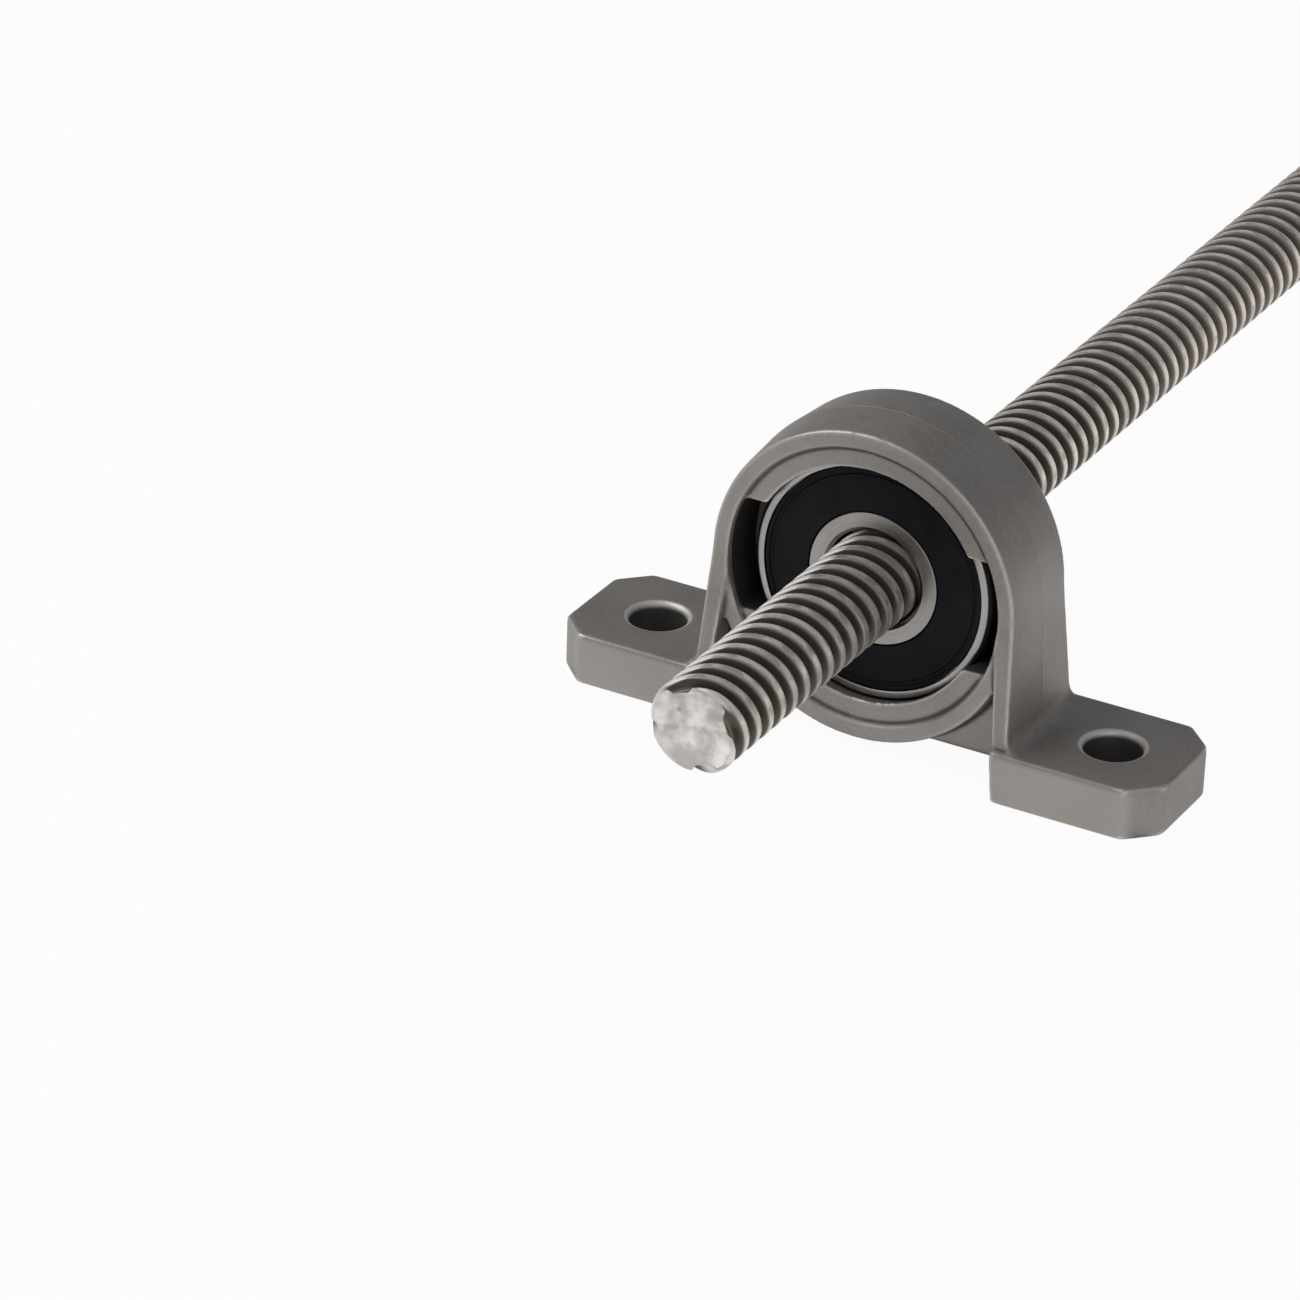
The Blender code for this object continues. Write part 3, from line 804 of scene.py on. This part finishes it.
def moulded_rubber():
    """Black rubber with a soft sheen, a little dust and fine moulded grain."""
    finish, shader, place = new_finish("moulded_rubber")
    dust = place.noise(700.0, 5.0).ramp(0.5, 0.85)
    grain = place.noise(5200.0, 2.0)
    clouds = place.noise(180.0, 2.0)
    tone = clouds.ramp(0.3, 0.7).blend(rubber_dark, rubber_light)
    tone = (dust * 0.2).blend(tone, rubber_dust)
    coat(shader, {
        "Base Color": tone,
        "Roughness": grain * 0.2 + 0.5,
        "Metallic": 0.0,
        "Specular IOR Level": 0.12,
        "Normal": grain.relief(0.006 * MM),
    })
    return finish


rubber = moulded_rubber()
for seal_name, seal_side in (("seal_front", -1), ("seal_back", 1)):
    seal = turned_piece(seal_name + "_moulded", seal_profile(seal_side), rubber)
    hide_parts(seal_name)
    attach(seal, "insert")


# Lead screw
# A stainless bar with a rolled trapezoidal thread of four starts, right hand. Both ends are
# cut off square and bevelled, the grooves stay dark with oil, and some shade and highlights are
# painted on.

screw_radius = 4.0 * MM
screw_length = 150.0 * MM
near_overhang = 32.8 * MM
thread_lead = 8.0 * MM
thread_starts = 4
thread_depth = 0.95 * MM
thread_crest = 0.9 * MM
thread_corner_round = 0.2 * MM
flank_angle = radians(15.0)
thread_phase = radians(-30.4)
bevel_length = 0.45 * MM
face_radius = 3.6 * MM
stub_radius = 0.95 * MM
rows_round_screw = 52
steps_along_tooth = 24
merge_distance = 0.002 * MM

crest_dark = (0.78, 0.71, 0.65)
crest_light = (1.0, 0.935, 0.875)
crest_stain = (0.34, 0.295, 0.255)
root_dark = (0.19, 0.152, 0.122)
root_light = (0.30, 0.245, 0.20)
far_flank_dark = (0.40, 0.335, 0.28)
far_flank_light = (0.66, 0.575, 0.495)
near_flank_shade = (0.090, 0.074, 0.061)
dry_groove = (0.50, 0.43, 0.38)
crest_highlight = (1.0, 0.96, 0.92)
bevel_highlight = (0.74, 0.71, 0.68)
sawn_dark = (0.58, 0.54, 0.51)
sawn_light = (0.92, 0.885, 0.855)
sawn_pip = (0.30, 0.27, 0.25)

thread_pitch = thread_lead / thread_starts
flank_length = thread_depth / cos(flank_angle)
half_tooth_length = thread_pitch / 2 - flank_length * sin(flank_angle) + flank_length


def new_tree(name, sizes):
    """An empty tree of geometry nodes with a named input for each size."""
    tree = bpy.data.node_groups.new(name, "GeometryNodeTree")
    tree.interface.new_socket("Geometry", in_out="OUTPUT", socket_type="NodeSocketGeometry")
    for label, kind in sizes.items():
        tree.interface.new_socket(label, in_out="INPUT", socket_type="NodeSocket" + kind)
    entry = tree.nodes.new("NodeGroupInput")
    return tree, {label: Value(tree, entry.outputs[label]) for label in sizes}


def close_tree(geometry, finish):
    """End a tree in Realize Instances and Set Material."""
    real = geometry.node("GeometryNodeRealizeInstances", {}, {0: geometry})
    painted = real.node("GeometryNodeSetMaterial", {}, {"Geometry": real, "Material": finish})
    leave = geometry.tree.nodes.new("NodeGroupOutput")
    geometry.tree.links.new(painted.socket, leave.inputs[0])


def cut_square(bm, y, outwards):
    """Cut a form off at a plane across the screw and close it with a flat face."""
    geometry = bm.verts[:] + bm.edges[:] + bm.faces[:]
    bmesh.ops.bisect_plane(
        bm, geom=geometry, plane_co=(0.0, y, 0.0), plane_no=(0.0, outwards, 0.0), clear_outer=True
    )
    bmesh.ops.holes_fill(bm, edges=[edge for edge in bm.edges if edge.is_boundary])


def grown(name, tree, sizes, ends):
    """A plain mesh piece made by a tree of geometry nodes and cut off square at both ends."""
    carrier = bpy.data.objects.new(name, bpy.data.meshes.new(name))
    bpy.context.scene.collection.objects.link(carrier)
    modifier = carrier.modifiers.new(name, "NODES")
    modifier.node_group = tree
    for item in tree.interface.items_tree:
        if item.in_out == "INPUT":
            modifier[item.identifier] = sizes[item.name]
    mesh = evaluated_mesh(carrier)
    carrier.modifiers.remove(modifier)
    bm = bmesh.new()
    bm.from_mesh(mesh)
    for y, outwards in zip(ends, (-1.0, 1.0)):
        cut_square(bm, y, outwards)
    bmesh.ops.recalc_face_normals(bm, faces=bm.faces)
    bm.to_mesh(mesh)
    bm.free()
    carrier.data = mesh
    mesh.shade_smooth()
    mesh.set_sharp_from_angle(angle=radians(50.0))
    return carrier


def thread_tree(finish):
    """Bend a flat grid into rows of teeth round the bar, each shifted along the helix."""
    tree, size = new_tree("rolled_thread", {
        "Rows": "Int",
        "Columns": "Int",
        "Teeth": "Float",
        "First Tooth": "Float",
        "Near End": "Float",
        "Far End": "Float",
        "Radius": "Float",
        "Pitch": "Float",
        "Lead": "Float",
        "Turn at Start": "Float",
        "Face Radius": "Float",
        "Bevel Slope": "Float",
    })
    grid = size["Rows"].node("GeometryNodeMeshGrid", {}, {
        "Size X": 1.0,
        "Size Y": 1.0,
        "Vertices X": size["Rows"] + 1.0,
        "Vertices Y": size["Columns"],
    })
    u, v, _ = grid.node("GeometryNodeInputPosition").parts()
    turn = (u + 0.5) * (2 * pi)
    count = (v + 0.5) * size["Teeth"]
    # The small amount keeps a place on a tooth's border from falling on either side of it
    tooth = (count + 1e-4).math("FLOOR")
    # The way is measured along the tooth's outline, from the middle of the crest
    across = count - tooth - 0.5
    way = abs(across) * (2 * half_tooth_length)
    drop = (way - thread_crest / 2).math("SMOOTH_MAX", 0.0, thread_corner_round)
    drop = drop.math("SMOOTH_MIN", flank_length, thread_corner_round)
    place = (tooth + size["First Tooth"]) * size["Pitch"]
    place = place + across.math("SIGN") * (way - drop + drop * sin(flank_angle))
    place = place + size["Lead"] * (turn - size["Turn at Start"]) / (2 * pi)
    # Past the bevels the form goes on as a thin stub, which is cut off
    from_end = (place - size["Near End"]).math("MINIMUM", size["Far End"] - place)
    bevel = size["Face Radius"] + from_end * size["Bevel Slope"]
    bevel = bevel.math("MAXIMUM", stub_radius)
    radius = bevel.math("MINIMUM", size["Radius"] - drop * cos(flank_angle))
    spot = radius.node("ShaderNodeCombineXYZ", {}, {
        0: radius * turn.math("SINE"),
        1: place,
        2: radius * turn.math("COSINE") + axis_height,
    })
    marked = grid.node("GeometryNodeStoreNamedAttribute", {"data_type": "FLOAT"}, {
        "Geometry": grid,
        "Name": "tooth_place",
        "Value": across * 2.0,
    })
    whole = grid.node("GeometryNodeSetPosition", {}, {"Geometry": marked, "Position": spot})
    whole = whole.node("GeometryNodeMergeByDistance", {}, {
        "Geometry": whole,
        "Distance": merge_distance,
    })
    close_tree(whole, finish)
    return tree


def rolled_stainless():
    """Satin crests with fine scratches, brown oily grooves, pale sawn end faces, and painted
    highlights and shade.
    """
    finish, shader, place = new_finish("rolled_stainless")
    x, y, z = place.parts()
    up = z - axis_height
    from_near_end = y + near_overhang
    scratches = place.stretched(0.25, 3.0, 0.25).noise(2400.0, 4.0)
    stain = place.noise(620.0, 6.0)
    clouds = place.noise(130.0, 3.0)
    # 0 in the middle of a crest and 1 or -1 in the middle of a groove, -1 towards the near end
    across = place.node("ShaderNodeAttribute", {"attribute_name": "tooth_place"}, {}, "Fac")
    crest = abs(across - 0.08).fade(0.12, 0.34)
    root = abs(across).ramp(0.6, 0.85)
    # Painted shade: the flanks that face the near end are coloured dark
    nearer = (0.0 - across).ramp(0.15, 0.35)
    flank = stain.ramp(0.3, 0.7).blend(far_flank_dark, far_flank_light)
    flank = nearer.blend(flank, near_flank_shade)
    tone = root.blend(flank, clouds.ramp(0.3, 0.7).blend(root_dark, root_light))
    # Behind the block the grooves hold less and less oil
    dry = y.ramp(25.0 * MM, 55.0 * MM)
    tone = (dry * 0.22).blend(tone, dry_groove)
    steel = scratches.ramp(0.3, 0.7).blend(crest_dark, crest_light)
    steel = (stain.ramp(0.45, 0.65) * 0.65).blend(steel, crest_stain)
    tone = crest.blend(tone, steel)
    # Painted highlight: in front of the block the upper left of the crests shows as a pale line
    line = (up * 0.85 - x * 0.53).ramp(3.72 * MM, 3.92 * MM) * y.fade(-4.0 * MM, 4.0 * MM)
    tone = (line * 0.9).blend(tone, crest_highlight)
    # Painted highlight: the lower left of the near bevel is coloured paler
    bevel = from_near_end.fade(0.3 * MM, 0.9 * MM) * (0.0 - up - x).ramp(-0.5 * MM, 1.5 * MM)
    tone = bevel.blend(tone, bevel_highlight)
    # The sawn faces have faint arcs of the saw, and a small pip up and left of the middle
    sawn_off = from_near_end.fade(0.02 * MM, 0.05 * MM)
    sawn_off = sawn_off + from_near_end.ramp(screw_length - 0.05 * MM, screw_length - 0.02 * MM)
    swirl = (x - 0.6 * MM).length_with(up + 0.7 * MM)
    marks = place.node("ShaderNodeCombineXYZ", {}, {0: swirl, 1: 0.0, 2: 0.0}).noise(2200.0, 2.0)
    sawn = (stain * 0.85 + marks * 0.15).ramp(0.35, 0.65).blend(sawn_dark, sawn_light)
    pip = (x + 1.2 * MM).length_with(up - 1.4 * MM).fade(0.1 * MM, 0.3 * MM)
    sawn = (pip * 0.6).blend(sawn, sawn_pip)
    tone = sawn_off.blend(tone, sawn)
    coat(shader, {
        "Base Color": tone,
        "Roughness": root * 0.14 + scratches * 0.1 + sawn_off * 0.15 + 0.36,
        "Metallic": sawn_off * 0.33 - line * 0.5 + 0.62,
        "Normal": (scratches * 0.5 + stain).relief(0.006 * MM),
    })
    return finish


near_end = -near_overhang
far_end = near_end + screw_length
first_tooth = floor(near_end / thread_pitch) - 2 * thread_starts
last_tooth = ceil(far_end / thread_pitch) + 2 * thread_starts
tooth_count = last_tooth - first_tooth
lead_screw = grown("lead_screw_rolled", thread_tree(rolled_stainless()), {
    "Rows": rows_round_screw,
    "Columns": tooth_count * steps_along_tooth + 1,
    "Teeth": float(tooth_count),
    "First Tooth": float(first_tooth),
    "Near End": near_end,
    "Far End": far_end,
    "Radius": screw_radius,
    "Pitch": thread_pitch,
    "Lead": thread_lead,
    "Turn at Start": thread_phase,
    "Face Radius": face_radius,
    "Bevel Slope": (screw_radius - face_radius) / bevel_length,
}, (near_end, far_end))
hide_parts("lead_screw")
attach(lead_screw, "screw")


# Grub screws
# Two headless screws with a hexagon socket, in black steel. They clamp the inner ring
# to the lead screw from behind the block.

oxide_black = (0.022, 0.022, 0.024)
oxide_worn = (0.14, 0.135, 0.13)


def black_oxide():
    """Black oxide on steel, slightly uneven and worn to grey in places."""
    finish, shader, place = new_finish("black_oxide")
    wear = place.noise(900.0, 4.0).ramp(0.5, 0.8)
    tone = (wear * 0.5).blend(oxide_black, oxide_worn)
    coat(shader, {
        "Base Color": tone,
        "Roughness": wear * 0.2 + 0.34,
        "Metallic": 0.9,
        "Normal": wear.relief(0.004 * MM),
    })
    return finish


def paint(node, finish):
    """Give a CAD node that is carried over its finish."""
    node.data.materials.clear()
    node.data.materials.append(finish)


grub_finish = black_oxide()
for number in (1, 2):
    paint(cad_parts["grub_screw_%d" % number], grub_finish)


# Cage, rivets and balls
# Seven polished balls run between the rings, kept apart by a cage of two pressed steel
# ribbons that small rivets hold together.

sheet_dark = (0.33, 0.31, 0.28)
sheet_light = (0.50, 0.475, 0.44)
ball_bright = (0.66, 0.66, 0.66)
ball_greasy = (0.56, 0.55, 0.52)


def pressed_sheet():
    """Pressed steel sheet with drawing marks and a thin film of grease."""
    finish, shader, place = new_finish("pressed_sheet")
    marks = place.stretched(1.0, 6.0, 1.0).noise(1500.0, 3.0)
    tone = marks.ramp(0.3, 0.7).blend(sheet_dark, sheet_light)
    coat(shader, {
        "Base Color": tone,
        "Roughness": marks * 0.16 + 0.28,
        "Metallic": 1.0,
        "Normal": marks.relief(0.004 * MM),
    })
    return finish


def polished_steel():
    """Mirror-bright ball steel with a trace of grease."""
    finish, shader, place = new_finish("polished_steel")
    film = place.noise(800.0, 3.0)
    tone = film.ramp(0.4, 0.7).blend(ball_bright, ball_greasy)
    coat(shader, {
        "Base Color": tone,
        "Roughness": film * 0.1 + 0.07,
        "Metallic": 1.0,
        "Normal": film.relief(0.001 * MM),
    })
    return finish


sheet_finish = pressed_sheet()
ball_finish = polished_steel()
for name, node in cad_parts.items():
    if name.startswith("cage_"):
        paint(node, sheet_finish)
    if name.startswith("ball_"):
        paint(node, ball_finish)


# Studio
# White floor that runs into a white background under a grey room. A soft key lamp above the
# left draws the bright lines along the edges, and a weaker one fills in from the right front.

floor_size = 4.0
paper_white = (0.85, 0.85, 0.85, 1.0)
room_grey = (0.27, 0.282, 0.293, 1.0)
white = (1.0, 1.0, 1.0, 1.0)


def white_floor():
    """White for the camera, with a soft shadow left in it, and in reflections beside the block."""
    finish = bpy.data.materials.new("white_floor")
    finish.use_nodes = True
    tree = finish.node_tree
    tree.nodes.clear()
    rays = tree.nodes.new("ShaderNodeLightPath").outputs
    seen = Value(tree, rays["Is Camera Ray"])
    glossy = Value(tree, rays["Is Glossy Ray"])
    clear = Value(tree, rays["Is Transmission Ray"])
    paper = seen.node("ShaderNodeBsdfDiffuse", {}, {"Color": paper_white})
    glow = seen.node("ShaderNodeEmission", {}, {"Color": white, "Strength": 1.0})
    x, y, _ = Value(tree, tree.nodes.new("ShaderNodeTexCoord").outputs["Object"]).parts()
    beside = abs(x).ramp(foot_length / 2 - 1.0 * MM, foot_length / 2)
    before = abs(y).ramp(foot_half - 1.0 * MM, foot_half)
    open_floor = beside.math("MAXIMUM", before)
    share = seen * 0.95 + glossy * 0.9 * open_floor + clear
    mixed = seen.node("ShaderNodeMixShader", {}, {0: share, 1: paper, 2: glow})
    leave = tree.nodes.new("ShaderNodeOutputMaterial")
    tree.links.new(mixed.socket, leave.inputs["Surface"])
    return finish


floor_mesh = bpy.data.meshes.new("studio_floor")
half_floor = floor_size / 2
floor_mesh.from_pydata(
    [(-half_floor, -half_floor, 0), (half_floor, -half_floor, 0),
     (half_floor, half_floor, 0), (-half_floor, half_floor, 0)],
    [],
    [(0, 1, 2, 3)],
)
studio_floor = bpy.data.objects.new("studio_floor", floor_mesh)
bpy.context.scene.collection.objects.link(studio_floor)
floor_mesh.materials.append(white_floor())


def add_lamp(name, direction, distance, size, power):
    """A soft square lamp that shines at the bearing."""
    lamp = bpy.data.objects.new(name, bpy.data.lights.new(name, "AREA"))
    bpy.context.scene.collection.objects.link(lamp)
    lamp.data.shape = "SQUARE"
    lamp.data.size = size
    lamp.data.energy = power
    towards = direction.normalized()
    lamp.location = towards * distance + Vector((0.0, 0.0, axis_height))
    lamp.rotation_mode = "QUATERNION"
    lamp.rotation_quaternion = towards.to_track_quat("Z", "Y")
    return lamp


add_lamp("key_lamp", Vector((-0.6, -0.3, 0.7)), distance=0.55, size=0.4, power=1.3)
add_lamp("fill_lamp", Vector((0.8, -0.9, 0.5)), distance=0.9, size=0.6, power=1.0)

world = bpy.data.worlds.new("studio")
bpy.context.scene.world = world
world.use_nodes = True
world_tree = world.node_tree
world_tree.nodes.clear()
seen = Value(world_tree, world_tree.nodes.new("ShaderNodeLightPath").outputs["Is Camera Ray"])
room = seen.node("ShaderNodeBackground", {}, {"Color": room_grey, "Strength": 1.0})
page = seen.node("ShaderNodeBackground", {}, {"Color": white, "Strength": 1.0})
sky = seen.node("ShaderNodeMixShader", {}, {0: seen, 1: room, 2: page})
world_leave = world_tree.nodes.new("ShaderNodeOutputWorld")
world_tree.links.new(sky.socket, world_leave.inputs["Surface"])

bpy.context.scene.view_settings.view_transform = "Standard"
